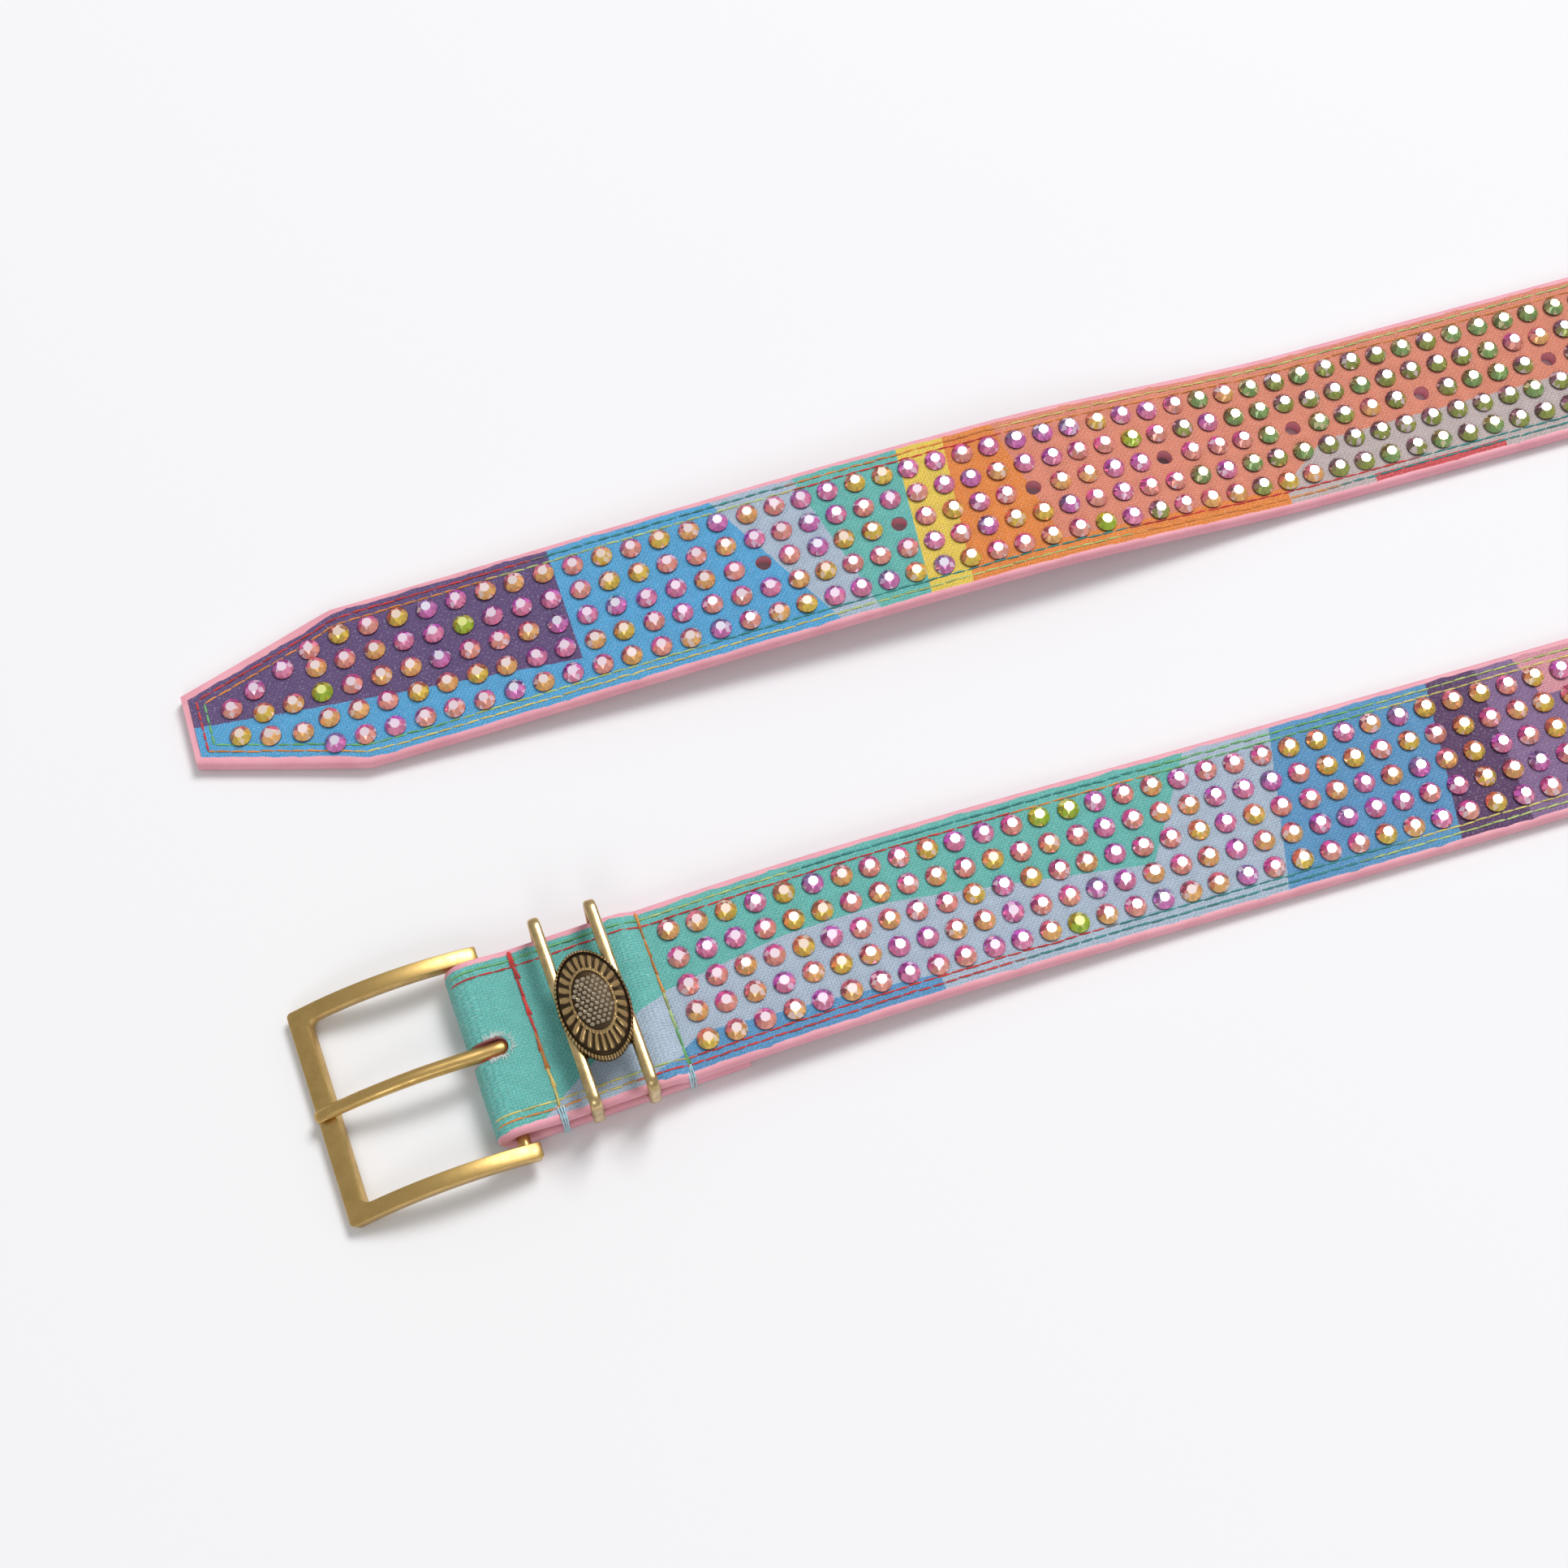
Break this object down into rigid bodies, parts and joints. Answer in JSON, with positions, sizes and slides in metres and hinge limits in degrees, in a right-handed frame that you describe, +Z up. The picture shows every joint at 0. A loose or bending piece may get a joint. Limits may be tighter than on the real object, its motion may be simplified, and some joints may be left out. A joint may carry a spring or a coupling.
{
  "type": "waist belt strap",
  "caption": "Wide stone-studded fabric strap with a bowed rectangular pin buckle, a sliding wire keeper with an oval boss, a tapered tip and punched holes.",
  "frame": {"origin": "on the surface the belt lies on, under the centre line of the strap at its first column of stones", "axes": "+X along the buckle end away from the buckle, +Y towards the tip end, +Z up"},
  "size_m": [0.5231, 0.1441, 0.0396],
  "materials": {
    "satin_brass": "satin, brushed along its length",
    "polished_brass": "polished with darker recesses",
    "antique_brass": "darkened casting with bright high spots",
    "marcasite": "small faceted dark stones",
    "printed_canvas": "coarse woven canvas printed in colour blocks",
    "core_board": "plain stiffener",
    "pink_leather": "smooth painted leather",
    "crystal": "faceted flat-back glass with a coloured foil",
    "thread_red": "variegated twisted thread",
    "thread_orange": "variegated twisted thread",
    "thread_green": "variegated twisted thread",
    "thread_blue": "variegated twisted thread"
  },
  "bodies": {
    "strap": {"strap_face": "printed_canvas", "strap_core": "core_board", "strap_lining": "pink_leather", "tip_stones": "crystal", "cross_stitch_front": "thread_red", "cross_stitch_rear": "thread_orange", "edge_whip_front": "thread_blue", "edge_whip_rear": "thread_blue", "edge_stitch_outer_far": "thread_red", "edge_stitch_outer_near": "thread_green", "edge_stitch_inner_far": "thread_green", "edge_stitch_inner_near": "thread_orange", "stone_row_1": "crystal", "stone_row_2": "crystal", "stone_row_3": "crystal", "stone_row_4": "crystal", "stone_row_5": "crystal"},
    "buckle": {"buckle_frame": "satin_brass", "hinge_bar": "satin_brass"},
    "prong": {"prong": "satin_brass"},
    "keeper": {"keeper_loop_front": "polished_brass", "keeper_loop_rear": "polished_brass", "keeper_boss": "antique_brass", "boss_backplate": "antique_brass", "boss_pave": "marcasite"}
  },
  "joints": [
    {"name": "buckle_hinge", "type": "hinge", "parent": "strap", "child": "buckle", "pos_m": [-0.0428, -0.0006, 0.0052], "axis": [0, 1, 0], "range_deg": [-60, 25]},
    {"name": "prong_hinge", "type": "hinge", "parent": "buckle", "child": "prong", "pos_m": [-0.0428, -0.0006, 0.0052], "axis": [0, 1, 0], "range_deg": [0, 50]},
    {"name": "keeper_slide", "type": "slide", "parent": "strap", "child": "keeper", "axis": [1, 0, 0], "range_m": [-0.0045, 0.0025]}
  ]
}
